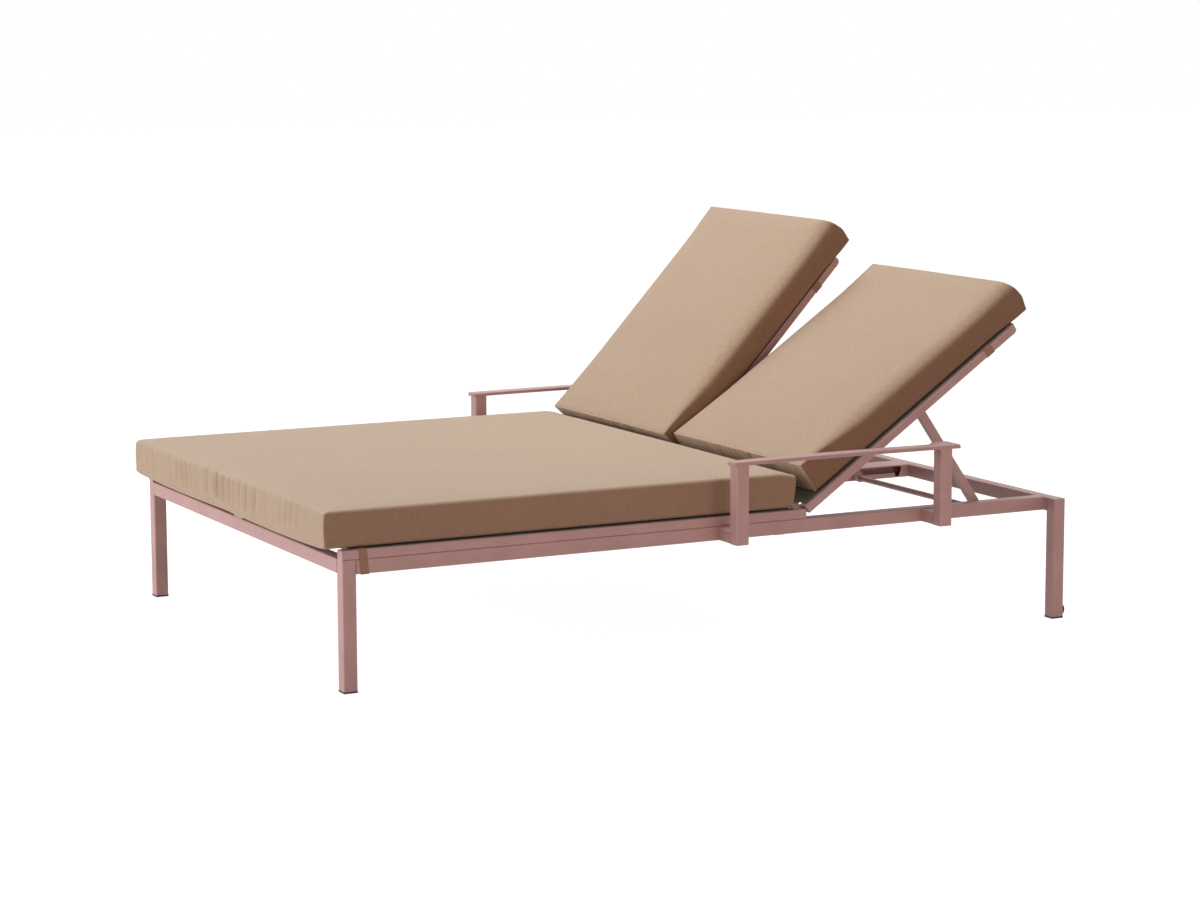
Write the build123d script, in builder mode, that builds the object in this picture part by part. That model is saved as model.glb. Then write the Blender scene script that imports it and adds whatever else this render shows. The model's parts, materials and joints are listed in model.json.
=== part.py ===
from build123d import *
import os
from math import asin, cos, degrees, radians, sin

os.makedirs("parts", exist_ok=True)

# Double chaise lounger: one base frame, one wide seat, two separately reclining backrests.
# X runs across the width, Y from the foot end to the head end, Z up. All lengths in mm.
# The origin lies on the floor under the middle of the bounding box.

# Base frame
frame_width = 1360.0
base_length = 2000.0
rail_top = 315.0
tube = 35.0
tube_wall = 1.8
tube_round = 3.5
corner_chamfer = 2.0
beam_width = 80.0
rear_leg_outset = 50.0
cross_rail_back = 50.0

# Feet
foot_lip = 0.8
foot_height = 4.5
foot_plug = 16.0
plug_gap = 0.3

# Transport wheels behind the rear legs
wheel_radius = 18.0
wheel_width = 20.0
wheel_gap = 1.5
wheel_floor_gap = 2.0
wheel_setback = -7.0
wheel_edge = 2.5
wheel_dish = 2.5
axle_radius = 3.0
ear_round = 8.0
ear_reach = 17.0
fork_plug = 42.0
wheel_window = 44.0

# Fits
running_gap = 0.05
rest_gap = 0.3
overrun = 5.0

# Seat frame on the rails
bar_width = 30.0
seat_bar_height = 23.0
centre_bar_width = 56.0
centre_bar_height = 21.0
spreader_width = 22.0
seat_spreader_height = 10.5
hinge_share = 0.61875
bar_end_gap = 1.5
seat_bar_lap = 11.0
front_spreader_back = 60.0
sling_front = 25.0

# Slings
sling_thickness = 1.5
sling_sag = 2.5
sling_inset = 0.5
sling_end_gap = 4.0
sling_hinge_gap = 9.0

# Hinges
ear_radius = 12.0
ear_thickness = 4.0
ear_length = 38.0
ear_margin = 2.0
ear_play = 0.3
pin_radius = 4.0
pin_head_radius = 6.5
pin_head_height = 3.0
head_sides = 6
lug_width = 20.4
centre_ear_thickness = 3.5

# Backrest frames
right_angle = 34.5
left_angle = 47.2
back_bar_height = 21.0
back_share = 0.3845
back_gap = 28.0
back_corner = 22.0
back_spreader_height = 12.0
lower_spreader_up = 55.0
middle_spreader_share = 0.24

# Props and their rack
pivot_share = 0.215
pivot_drop = 14.0
prop_share = 0.17015
prop_depth = 21.0
prop_thickness = 19.0
prop_rail_gap = 2.0
prop_bar_gap = 3.0
crossbar_radius = 7.5
crossbar_wall = 1.5
crossbar_end_gap = 1.5
pivot_radius = 4.0
pivot_spacer_radius = 8.0
pivot_bite = 6.0
rack_pitch_share = 0.067
rack_notches = 3
rack_top_margin = 3.5
rack_height = 17.5
rack_floor = 3.0
rack_round = 6.0
rack_side_play = 0.5
rack_lead_share = 0.065
rack_tail = 12.0

# Armrests
post_outset = 89.0
front_post_share = 0.499
rear_post_share = 0.794
armrest_height = 476.0
bracket_height = 32.0
blade_width = 40.0
blade_thickness = 9.5
blade_crown = 2.0
blade_front_reach = 9.0
blade_rear_reach = 26.0
blade_edge = 3.5
blade_flare = 38.0
flare_start = 15.0
flare_taper = 8.0
blade_corner = 9.0

# Seat cushion
cushion_side_inset = 10.0
foot_overhang = 36.0
cushion_rear_gap = 7.5
cushion_seam_low = 346.0
cushion_seam_high = 426.0
seat_crown = 7.0
cushion_bulge = 3.0
end_bulge = 8.0
end_draw = 34.0
foot_end_lift = 2.5
rear_draw = 12.0
rear_draw_length = 30.0
end_share = 0.3
side_draw = 4.0

# Back cushions
back_cushion_start = 59.0
back_cushion_overhang = 57.0
back_cushion_low = 8.0
back_cushion_high = 83.4
back_cushion_inner = 12.0
back_cushion_outer_inset = 13.0
back_crown = 9.0
end_crown = 3.0
back_end_draw = 4.0

# Cushion straps
strap_thickness = 1.2
strap_end_inset = 6.0
back_strap_drop = 119.0
back_strap_width = 26.0
foot_strap_back = 40.0
foot_strap_width = 21.0

# Lengths that follow the base, so that the backs, props and rack keep together
hinge_back = hinge_share * base_length
back_length = back_share * base_length
middle_spreader_up = middle_spreader_share * base_length
pivot_up = pivot_share * base_length
prop_length = prop_share * base_length
rack_pitch = rack_pitch_share * base_length
rack_lead = rack_lead_share * base_length
front_post_back = front_post_share * base_length
rear_post_back = rear_post_share * base_length
back_cushion_end = back_length + back_cushion_overhang
back_strap_up = back_length - back_strap_drop

# Places worked out from the sizes above
wheel_reach = wheel_setback + wheel_radius
foot_reach = foot_overhang + end_bulge
overall_length = foot_reach + base_length + wheel_reach
front = foot_reach - overall_length / 2
rear = front + base_length
frame_half = frame_width / 2
cushion_half_width = frame_half - cushion_side_inset
back_cushion_outer = frame_half - back_cushion_outer_inset
tube_bore = tube - 2 * tube_wall
rail_inner = frame_half - tube
rail_bottom = rail_top - tube
rear_leg_x = frame_half + rear_leg_outset - tube / 2
beam_half = beam_width / 2
bar_inner = frame_half - bar_width
seat_bar_top = rail_top + seat_bar_height
centre_bar_top = rail_top + centre_bar_height
centre_bar_half = centre_bar_width / 2
hinge_y = front + hinge_back
hinge_z = seat_bar_top
back_bar_start = seat_bar_lap + bar_end_gap
inner_bar_near = back_gap / 2
inner_bar_far = inner_bar_near + bar_width
post_x = frame_half + post_outset - tube / 2
wheel_y = rear + wheel_setback
wheel_z = wheel_floor_gap + wheel_radius
seat_sling_top = centre_bar_top - sling_inset
sides = ((1, "right", right_angle), (-1, "left", left_angle))


def save(piece, name):
    """Name a piece and write it to its own file."""
    piece.part.label = name
    export_step(piece.part, f"parts/{name}.step")


def along_y(x, y, z):
    """Plane whose normal points to the head end."""
    return Plane(origin=(x, y, z), x_dir=(1, 0, 0), z_dir=(0, 1, 0))


def along_x(x, y, z):
    """Plane whose normal points to the right, with Y and Z as its own axes."""
    return Plane(origin=(x, y, z), x_dir=(0, 1, 0), z_dir=(1, 0, 0))


def face_plane(angle, lift):
    """Plane parallel to a backrest's face: X across, Y up the back."""
    tilt = radians(angle)
    base = Plane(origin=(0, hinge_y, hinge_z), x_dir=(1, 0, 0), z_dir=(0, -sin(tilt), cos(tilt)))
    return base.offset(lift)


def flank_plane(angle, x):
    """Plane beside a backrest: X up the back, Y out of its face, normal to the right."""
    tilt = radians(angle)
    return Plane(origin=(x, hinge_y, hinge_z), x_dir=(0, cos(tilt), sin(tilt)), z_dir=(1, 0, 0))


def rib_plane(angle, up):
    """Plane across a backrest: X across, Y out of its face, normal down the back."""
    tilt = radians(angle)
    place = (0, hinge_y + up * cos(tilt), hinge_z + up * sin(tilt))
    return Plane(origin=place, x_dir=(1, 0, 0), z_dir=(0, -cos(tilt), -sin(tilt)))


def back_point(angle, up, lift):
    """World Y and Z of a point on a backrest."""
    tilt = radians(angle)
    y = hinge_y + up * cos(tilt) - lift * sin(tilt)
    z = hinge_z + up * sin(tilt) + lift * cos(tilt)
    return y, z


def hollow_bar(plane, width, height, length, near_plug=0):
    """Rounded rectangular tube along the plane's normal, its near end closed by the plug's depth."""
    with BuildPart() as bar:
        with BuildSketch(plane):
            RectangleRounded(width, height, tube_round)
        extrude(amount=length)
        with BuildSketch(plane.offset(near_plug)):
            Rectangle(width - 2 * tube_wall, height - 2 * tube_wall)
        extrude(amount=length - near_plug, mode=Mode.SUBTRACT)
    return bar


# Where each prop's foot rests
def prop_places(side_tag, angle):
    """Pivot, foot and lean of a prop: the right one sits in a notch, the left one is upright."""
    pivot = back_point(angle, pivot_up, -pivot_drop)
    notch_floor = rail_bottom + rack_floor + crossbar_radius
    if side_tag == "right":
        lean = -degrees(asin((pivot[1] - notch_floor) / prop_length))
    else:
        lean = -90.0
    foot_y = pivot[0] + prop_length * cos(radians(lean))
    foot_z = pivot[1] + prop_length * sin(radians(lean))
    return pivot, (foot_y, foot_z), lean


rest_notch_y = prop_places("right", right_angle)[1][0]
first_notch_y = rest_notch_y - (rack_notches - 2) * rack_pitch
last_notch_y = rest_notch_y + rack_pitch


# Rack slot: a long window with a lip along its lower edge and a pocket for each recline step
def rack_outline(plane):
    """Sketch of the rack slot on a plane whose own axes are Y and Z."""
    slot_top = rail_top - rack_top_margin
    slot_low = slot_top - rack_height
    slot_front = first_notch_y - rack_lead
    slot_rear = last_notch_y + rack_tail
    slot_middle_z = (slot_top + slot_low) / 2
    notch_half = crossbar_radius + rack_side_play
    notch_low = rail_bottom + rack_floor
    with BuildSketch(plane) as outline:
        with Locations(((slot_front + slot_rear) / 2, slot_middle_z)):
            RectangleRounded(slot_rear - slot_front, rack_height, rack_round)
        for step in range(rack_notches):
            notch_y = first_notch_y + step * rack_pitch
            with BuildLine():
                Polyline(
                    (notch_y - notch_half, notch_low + notch_half),
                    (notch_y - 2 * notch_half, slot_middle_z),
                    (notch_y + notch_half, slot_middle_z),
                    (notch_y + notch_half, notch_low + notch_half),
                )
                ThreePointArc(
                    (notch_y + notch_half, notch_low + notch_half),
                    (notch_y, notch_low),
                    (notch_y - notch_half, notch_low + notch_half),
                )
            make_face()
    return outline.sketch


# Front legs with their rail
for side, tag, angle in sides:
    leg_place = Plane.XY.offset(foot_height)
    leg_height = rail_top - foot_height
    with BuildPart() as front_leg:
        with BuildSketch(leg_place):
            with Locations((side * (frame_half - tube / 2), front + tube / 2)):
                RectangleRounded(tube, tube, tube_round)
        extrude(amount=leg_height)
        with BuildSketch(leg_place):
            with Locations((side * (frame_half - tube / 2), front + tube / 2)):
                Rectangle(tube_bore, tube_bore)
        extrude(amount=leg_height - tube_wall, mode=Mode.SUBTRACT)
    save(front_leg, f"front_leg_{tag}")

front_rail = hollow_bar(
    along_x(-rail_inner, front + tube / 2, rail_top - tube / 2), tube, tube, 2 * rail_inner
)
save(front_rail, "front_rail")

# Rear legs stand outboard of the rails and open to the rear for the wheels
for side, tag, angle in sides:
    leg_place = Plane.XY.offset(foot_height)
    leg_height = rail_top - foot_height
    with BuildPart() as rear_leg:
        with BuildSketch(leg_place):
            with Locations((side * rear_leg_x, rear - tube / 2)):
                RectangleRounded(tube, tube, tube_round)
        extrude(amount=leg_height)
        with BuildSketch(leg_place):
            with Locations((side * rear_leg_x, rear - tube / 2)):
                Rectangle(tube_bore, tube_bore)
        extrude(amount=leg_height - tube_wall, mode=Mode.SUBTRACT)
        with BuildSketch(along_y(side * rear_leg_x, rear - 2 * tube_wall, 0)):
            Rectangle(tube_bore, 2 * wheel_window)
        extrude(amount=2 * tube_wall + overrun, mode=Mode.SUBTRACT)
    save(rear_leg, f"rear_leg_{tag}")

rear_rail_half = rear_leg_x - tube / 2
rear_rail = hollow_bar(
    along_x(-rear_rail_half, rear - tube / 2, rail_top - tube / 2), tube, tube, 2 * rear_rail_half
)
save(rear_rail, "rear_rail")

# Side rails with a rack slot in the inner wall
rail_length = base_length - 2 * tube
for side, tag, angle in sides:
    with BuildPart() as side_rail:
        rail_start = along_y(side * (frame_half - tube / 2), front + tube, rail_top - tube / 2)
        with BuildSketch(rail_start):
            RectangleRounded(tube, tube, tube_round)
            Rectangle(tube_bore, tube_bore, mode=Mode.SUBTRACT)
        extrude(amount=rail_length)
        rack = rack_outline(along_x(side * (rail_inner - tube_wall), 0, 0))
        extrude(rack, amount=side * 3 * tube_wall, mode=Mode.SUBTRACT)
    save(side_rail, f"side_rail_{tag}")

# Centre beam: a two-cell profile with a middle web and the rack slot in both side walls
beam_cell = beam_half - tube_wall - tube_wall / 2
beam_cell_x = (tube_wall + beam_cell) / 2
with BuildPart() as centre_beam:
    with BuildSketch(along_y(0, front + tube, rail_top - tube / 2)):
        RectangleRounded(beam_width, tube, tube_round)
        with Locations((beam_cell_x, 0), (-beam_cell_x, 0)):
            Rectangle(beam_cell, tube_bore, mode=Mode.SUBTRACT)
    extrude(amount=rail_length)
    for side, tag, angle in sides:
        rack = rack_outline(along_x(side * (beam_half + overrun), 0, 0))
        extrude(rack, amount=-side * (overrun + 2 * tube_wall), mode=Mode.SUBTRACT)
save(centre_beam, "centre_beam")

# Cross rails between the side rails and the beam, under the hinge
cross_length = rail_inner - beam_half
with BuildPart() as mid_cross_rails:
    for side, tag, angle in sides:
        cross_start = along_x(side * beam_half, hinge_y - cross_rail_back, rail_top - tube / 2)
        with BuildSketch(cross_start):
            RectangleRounded(tube, tube, tube_round)
            Rectangle(tube_bore, tube_bore, mode=Mode.SUBTRACT)
        extrude(amount=side * cross_length)
save(mid_cross_rails, "mid_cross_rails")

# Foot caps: a lip under the tube and a plug inside it
plug_side = tube_bore - 2 * plug_gap
with BuildPart() as foot_caps:
    for side, tag, angle in sides:
        with BuildSketch():
            with Locations((side * (frame_half - tube / 2), front + tube / 2)):
                RectangleRounded(tube + 2 * foot_lip, tube + 2 * foot_lip, tube_round + foot_lip)
        extrude(amount=foot_height)
        with BuildSketch(Plane.XY.offset(foot_height)):
            with Locations((side * (frame_half - tube / 2), front + tube / 2)):
                Rectangle(plug_side, plug_side)
        extrude(amount=foot_plug)
    lip_edges = foot_caps.edges().group_by(Axis.Z)[0]
    chamfer(lip_edges, foot_lip)
save(foot_caps, "foot_caps")

# Wheel forks: rear foot caps with a pocket for the wheel and two ears that carry the axle
pocket_radius = wheel_radius + wheel_gap
with BuildPart() as wheel_forks:
    for side, tag, angle in sides:
        with BuildSketch():
            with Locations((side * rear_leg_x, rear - tube / 2)):
                RectangleRounded(tube + 2 * foot_lip, tube + 2 * foot_lip, tube_round + foot_lip)
        extrude(amount=foot_height)
        with BuildSketch(Plane.XY.offset(foot_height)):
            with Locations((side * rear_leg_x, rear - tube / 2)):
                Rectangle(plug_side, plug_side)
        extrude(amount=fork_plug)
        with BuildSketch(along_x(side * rear_leg_x - plug_side / 2, 0, 0)):
            with Locations((wheel_y, wheel_z)):
                Circle(ear_round)
            with Locations((wheel_y - ear_reach / 2, wheel_z)):
                Rectangle(ear_reach, 2 * ear_round)
        extrude(amount=plug_side)
        with BuildSketch(along_x(side * rear_leg_x - wheel_width / 2 - wheel_gap, 0, 0)):
            with Locations((wheel_y, wheel_z)):
                Circle(pocket_radius)
            with Locations((wheel_y, 0)):
                Rectangle(2 * pocket_radius, 2 * wheel_z)
            with Locations((wheel_y + pocket_radius / 2, wheel_z)):
                Rectangle(pocket_radius, 2 * pocket_radius)
        extrude(amount=wheel_width + 2 * wheel_gap, mode=Mode.SUBTRACT)
        with BuildSketch(along_x(side * rear_leg_x - plug_side, 0, 0)):
            with Locations((wheel_y, wheel_z)):
                Circle(axle_radius + running_gap)
        extrude(amount=2 * plug_side, mode=Mode.SUBTRACT)
save(wheel_forks, "wheel_forks")

with BuildPart() as wheel_axles:
    for side, tag, angle in sides:
        with BuildSketch(along_x(side * rear_leg_x - plug_side / 2, wheel_y, wheel_z)):
            Circle(axle_radius)
        extrude(amount=plug_side)
save(wheel_axles, "wheel_axles")

# Wheels: dished on both faces, with a chamfered tread
for side, tag, angle in sides:
    with BuildPart() as wheel:
        with BuildSketch(along_x(side * rear_leg_x - wheel_width / 2, wheel_y, wheel_z)):
            Circle(wheel_radius)
        extrude(amount=wheel_width)
        chamfer(wheel.edges().filter_by(GeomType.CIRCLE), wheel_edge)
        for face_x, inward in ((-wheel_width / 2, 1), (wheel_width / 2, -1)):
            with BuildSketch(along_x(side * rear_leg_x + face_x, wheel_y, wheel_z)):
                Circle(wheel_radius - 2 * wheel_edge)
            extrude(amount=inward * wheel_dish, mode=Mode.SUBTRACT)
        with BuildSketch(along_x(side * rear_leg_x - wheel_width, wheel_y, wheel_z)):
            Circle(axle_radius + running_gap)
        extrude(amount=2 * wheel_width, mode=Mode.SUBTRACT)
    save(wheel, f"wheel_{tag}")

# Seat frame: side bars flush with the rails, a centre bar on the beam, spreaders between them
for side, tag, angle in sides:
    seat_side_bar = hollow_bar(
        along_y(side * (frame_half - bar_width / 2), front, rail_top + seat_bar_height / 2),
        bar_width,
        seat_bar_height,
        hinge_back + seat_bar_lap,
        near_plug=tube_wall,
    )
    save(seat_side_bar, f"seat_side_bar_{tag}")

centre_bar_length = hinge_back - ear_radius
seat_centre_bar = hollow_bar(
    along_y(0, front, rail_top + centre_bar_height / 2),
    centre_bar_width,
    centre_bar_height,
    centre_bar_length,
    near_plug=tube_wall,
)
save(seat_centre_bar, "seat_centre_bar")

ear_start_y = hinge_y - ear_length
rear_spreader_y = ear_start_y - sling_end_gap - spreader_width
front_spreader_y = front + front_spreader_back
spreader_rows = (front_spreader_y, (front_spreader_y + rear_spreader_y) / 2, rear_spreader_y)
with BuildPart() as seat_spreaders:
    for side, tag, angle in sides:
        for row_y in spreader_rows:
            start = along_x(
                side * centre_bar_half, row_y + spreader_width / 2, rail_top + seat_spreader_height / 2
            )
            with BuildSketch(start):
                Rectangle(spreader_width, seat_spreader_height)
            extrude(amount=side * (bar_inner - centre_bar_half))
save(seat_spreaders, "seat_spreaders")


# Sling: a cloth panel that sags between two bars
def sling_outline(plane, x_one, x_two, top):
    """Sketch of a sagging panel's section, from bar to bar."""
    middle = (x_one + x_two) / 2
    low = top - sling_thickness
    with BuildSketch(plane) as outline:
        with BuildLine():
            ThreePointArc((x_one, top), (middle, top - sling_sag), (x_two, top))
            Line((x_two, top), (x_two, low))
            ThreePointArc((x_two, low), (middle, low - sling_sag), (x_one, low))
            Line((x_one, low), (x_one, top))
        make_face()
    return outline.sketch


outer_ear_x = bar_inner - ear_thickness
seat_ear_x = outer_ear_x - ear_play - ear_thickness
seat_sling_length = hinge_back - sling_hinge_gap - sling_front
notch_width = bar_inner - seat_ear_x + sling_end_gap
notch_length = ear_length + sling_end_gap
for side, tag, angle in sides:
    with BuildPart() as seat_sling:
        panel = sling_outline(
            Plane.XZ.offset(-(front + sling_front)),
            side * (centre_bar_half + rest_gap),
            side * (bar_inner - rest_gap),
            seat_sling_top,
        )
        extrude(panel, amount=-seat_sling_length)
        with BuildSketch(Plane.XY.offset(seat_bar_top)):
            with Locations((side * bar_inner, hinge_y)):
                Rectangle(2 * notch_width, 2 * notch_length)
        extrude(amount=rail_top - seat_bar_top, mode=Mode.SUBTRACT)
    save(seat_sling, f"seat_sling_{tag}")

# Seat hinge ears: cranked plates on the inner faces of the side bars
with BuildPart() as seat_hinge_ears:
    for side, tag, angle in sides:
        with BuildSketch(along_x(side * seat_ear_x, 0, 0)):
            with Locations((hinge_y, hinge_z)):
                Circle(ear_radius)
            with BuildLine():
                Polyline(
                    (ear_start_y, rail_top + ear_margin),
                    (hinge_y, rail_top + ear_margin),
                    (hinge_y, hinge_z),
                    (hinge_y - ear_radius, hinge_z),
                    (ear_start_y, hinge_z - 2 * ear_margin),
                    (ear_start_y, rail_top + ear_margin),
                )
            make_face()
        extrude(amount=side * ear_thickness)
        with BuildSketch(along_x(side * (seat_ear_x + ear_thickness), 0, 0)):
            with BuildLine():
                Polyline(
                    (ear_start_y, rail_top + ear_margin),
                    (hinge_y - ear_radius - ear_margin, rail_top + ear_margin),
                    (hinge_y - ear_radius - ear_margin, hinge_z - 2 * ear_margin),
                    (ear_start_y, hinge_z - 2 * ear_margin),
                    (ear_start_y, rail_top + ear_margin),
                )
            make_face()
        extrude(amount=side * (bar_inner - seat_ear_x - ear_thickness))
        with BuildSketch(along_x(side * seat_ear_x, 0, 0)):
            with Locations((hinge_y, hinge_z)):
                Circle(pin_radius + running_gap)
        extrude(amount=side * ear_thickness, mode=Mode.SUBTRACT)
save(seat_hinge_ears, "seat_hinge_ears")

# Centre hinge lug: stands on the beam behind the centre bar, between the two backrests
with BuildPart() as centre_hinge_lug:
    with BuildSketch(along_x(-lug_width / 2, 0, 0)):
        with Locations((hinge_y, hinge_z)):
            Circle(ear_radius)
        with Locations((hinge_y, (hinge_z + rail_top) / 2)):
            Rectangle(2 * ear_radius, hinge_z - rail_top)
        with Locations((hinge_y, hinge_z)):
            Circle(pin_radius + running_gap, mode=Mode.SUBTRACT)
    extrude(amount=lug_width)
save(centre_hinge_lug, "centre_hinge_lug")

# Hinge pins: a headed pin at each outer ear pair and one long pin through the lug
with BuildPart() as hinge_pins:
    for side, tag, angle in sides:
        with BuildSketch(along_x(side * (bar_inner - rest_gap / 2), hinge_y, hinge_z)):
            Circle(pin_radius)
        extrude(amount=-side * (bar_inner - rest_gap / 2 - seat_ear_x + rest_gap))
        with BuildSketch(along_x(side * (seat_ear_x - rest_gap), hinge_y, hinge_z)):
            RegularPolygon(pin_head_radius, head_sides)
        extrude(amount=-side * pin_head_height)
    with BuildSketch(along_x(-inner_bar_near + rest_gap, hinge_y, hinge_z)):
        Circle(pin_radius)
    extrude(amount=back_gap - 2 * rest_gap)
save(hinge_pins, "hinge_pins")

# Armrest posts on stand-off brackets
post_rows = (("front", front + front_post_back), ("rear", front + rear_post_back))
for side, tag, angle in sides:
    for row_name, row_y in post_rows:
        with BuildPart() as armrest_post:
            with BuildSketch(Plane.XY.offset(rail_bottom)):
                with Locations((side * post_x, row_y + tube / 2)):
                    RectangleRounded(tube, tube, tube_round)
            extrude(amount=armrest_height - rail_bottom)
            with BuildSketch(Plane.XY.offset(rail_bottom + tube_wall)):
                with Locations((side * post_x, row_y + tube / 2)):
                    Rectangle(tube_bore, tube_bore)
            extrude(amount=armrest_height - rail_bottom - tube_wall, mode=Mode.SUBTRACT)
        save(armrest_post, f"armrest_post_{row_name}_{tag}")
    with BuildPart() as armrest_brackets:
        for row_name, row_y in post_rows:
            start = along_x(side * frame_half, row_y + tube / 2, rail_bottom + bracket_height / 2)
            with BuildSketch(start):
                RectangleRounded(tube, bracket_height, tube_round)
                Rectangle(tube_bore, bracket_height - 2 * tube_wall, mode=Mode.SUBTRACT)
            extrude(amount=side * (post_x - tube / 2 - frame_half))
    save(armrest_brackets, f"armrest_brackets_{tag}")

# Armrest blades: a slim crowned bar that flares inward over the rear post
blade_front = front + front_post_back - blade_front_reach
blade_rear = front + rear_post_back + tube + blade_rear_reach
blade_middle = (blade_front + blade_rear) / 2
arc_front = blade_front - overrun
arc_rear = blade_rear + overrun
for side, tag, angle in sides:
    blade_outer = post_x + blade_width / 2
    blade_inner = post_x - blade_width / 2
    flare_y = front + rear_post_back - flare_start
    with BuildPart() as armrest_blade:
        with BuildSketch(along_x(side * (blade_inner - blade_flare - overrun), 0, 0)):
            with BuildLine():
                ThreePointArc(
                    (arc_front, armrest_height),
                    (blade_middle, armrest_height + blade_crown),
                    (arc_rear, armrest_height),
                )
                Line((arc_rear, armrest_height), (arc_rear, armrest_height + blade_thickness))
                ThreePointArc(
                    (arc_rear, armrest_height + blade_thickness),
                    (blade_middle, armrest_height + blade_thickness + blade_crown),
                    (arc_front, armrest_height + blade_thickness),
                )
                Line((arc_front, armrest_height + blade_thickness), (arc_front, armrest_height))
            make_face()
        extrude(amount=side * (blade_width + blade_flare + 2 * overrun))
        with BuildSketch(Plane.XY.offset(armrest_height - overrun)) as blade_plan:
            with BuildLine():
                Polyline(
                    (side * blade_inner, blade_front),
                    (side * blade_outer, blade_front),
                    (side * blade_outer, blade_rear),
                    (side * (blade_inner - blade_flare + flare_taper), blade_rear),
                    (side * (blade_inner - blade_flare), flare_y + blade_flare),
                    (side * blade_inner, flare_y),
                    (side * blade_inner, blade_front),
                )
            make_face()
            fillet(blade_plan.vertices(), blade_corner)
        extrude(amount=blade_thickness + blade_crown + 2 * overrun, mode=Mode.INTERSECT)
        top_face = armrest_blade.faces().sort_by(Axis.Z)[-1]
        fillet(top_face.edges(), blade_edge)
    save(armrest_blade, f"armrest_blade_{tag}")


# Backrest frames
def out_axis(angle):
    """Direction out of a backrest's face."""
    return Axis((0, hinge_y, hinge_z), (0, -sin(radians(angle)), cos(radians(angle))))


top_bar_start = back_length - bar_width
top_bar_width = frame_half - inner_bar_near
top_bar_middle = (frame_half + inner_bar_near) / 2
bar_places = (
    ("outer", frame_half - bar_width / 2, -1),
    ("inner", inner_bar_near + bar_width / 2, 1),
)
for side, tag, angle in sides:
    for bar_name, bar_x, inward in bar_places:
        with BuildPart() as back_side_bar:
            with BuildSketch(rib_plane(angle, back_bar_start)):
                with Locations((side * bar_x, -back_bar_height / 2)):
                    RectangleRounded(bar_width, back_bar_height, tube_round)
            extrude(amount=back_bar_start - top_bar_start)
            with BuildSketch(rib_plane(angle, back_bar_start + tube_wall)):
                with Locations((side * bar_x, -back_bar_height / 2)):
                    Rectangle(bar_width - 2 * tube_wall, back_bar_height - 2 * tube_wall)
            extrude(amount=back_bar_start + tube_wall - top_bar_start, mode=Mode.SUBTRACT)
            with BuildSketch(flank_plane(angle, side * bar_x)):
                with Locations((pivot_up, -pivot_drop)):
                    Circle(pivot_radius + running_gap)
            extrude(amount=side * inward * bar_width, mode=Mode.SUBTRACT)
        save(back_side_bar, f"back_{bar_name}_bar_{tag}")

    # Top bar with rounded outer corners, open downward into the side bars
    with BuildPart() as back_top_bar:
        with BuildSketch(face_plane(angle, -back_bar_height)) as top_plan:
            with Locations((side * top_bar_middle, back_length - bar_width / 2)):
                Rectangle(top_bar_width, bar_width)
            fillet(top_plan.vertices().group_by(Axis.Y)[-1], back_corner)
        extrude(amount=back_bar_height)
        rims = back_top_bar.faces().filter_by(out_axis(angle))
        chamfer(rims.edges(), corner_chamfer)
        with BuildSketch(face_plane(angle, tube_wall - back_bar_height)):
            with Locations((side * top_bar_middle, back_length - bar_width / 2)):
                Rectangle(top_bar_width - 2 * back_corner, bar_width - 2 * tube_wall)
            for bar_name, bar_x, inward in bar_places:
                with Locations((side * bar_x, top_bar_start)):
                    Rectangle(bar_width - 2 * tube_wall, bar_width)
        extrude(amount=back_bar_height - 2 * tube_wall, mode=Mode.SUBTRACT)
    save(back_top_bar, f"back_top_bar_{tag}")

    # Spreaders keep clear of the sling above them and of the folded prop
    with BuildPart() as back_spreaders:
        for up in (lower_spreader_up, middle_spreader_up):
            y, z = back_point(angle, up, back_spreader_height / 2 - back_bar_height)
            start = Plane(
                origin=(side * inner_bar_far, y, z),
                x_dir=(0, cos(radians(angle)), sin(radians(angle))),
                z_dir=(1, 0, 0),
            )
            with BuildSketch(start):
                Rectangle(spreader_width, back_spreader_height)
            extrude(amount=side * (bar_inner - inner_bar_far))
    save(back_spreaders, f"back_spreaders_{tag}")

    with BuildPart() as back_sling:
        panel = sling_outline(
            rib_plane(angle, sling_hinge_gap),
            side * (inner_bar_far + rest_gap),
            side * (bar_inner - rest_gap),
            -sling_inset,
        )
        extrude(panel, amount=sling_hinge_gap + rest_gap - top_bar_start)
        with BuildSketch(face_plane(angle, 0)):
            with Locations((side * bar_inner, 0)):
                Rectangle(2 * notch_width, 2 * notch_length)
        extrude(amount=-back_bar_height, mode=Mode.SUBTRACT)
    save(back_sling, f"back_sling_{tag}")

    # Hinge ears: one inside the outer bar, one on the gap side of the inner bar
    with BuildPart() as back_hinge_ears:
        for ear_x, thickness in (
            (bar_inner - ear_thickness, ear_thickness),
            (inner_bar_near - centre_ear_thickness, centre_ear_thickness),
        ):
            with BuildSketch(flank_plane(angle, side * ear_x)):
                Circle(ear_radius)
                with BuildLine():
                    Polyline(
                        (0, -back_bar_height + ear_margin),
                        (ear_length, -back_bar_height + ear_margin),
                        (ear_length, -2 * ear_margin),
                        (ear_radius, 0),
                        (0, 0),
                        (0, -back_bar_height + ear_margin),
                    )
                make_face()
                Circle(pin_radius + running_gap, mode=Mode.SUBTRACT)
            extrude(amount=side * thickness)
    save(back_hinge_ears, f"back_hinge_ears_{tag}")

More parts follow.
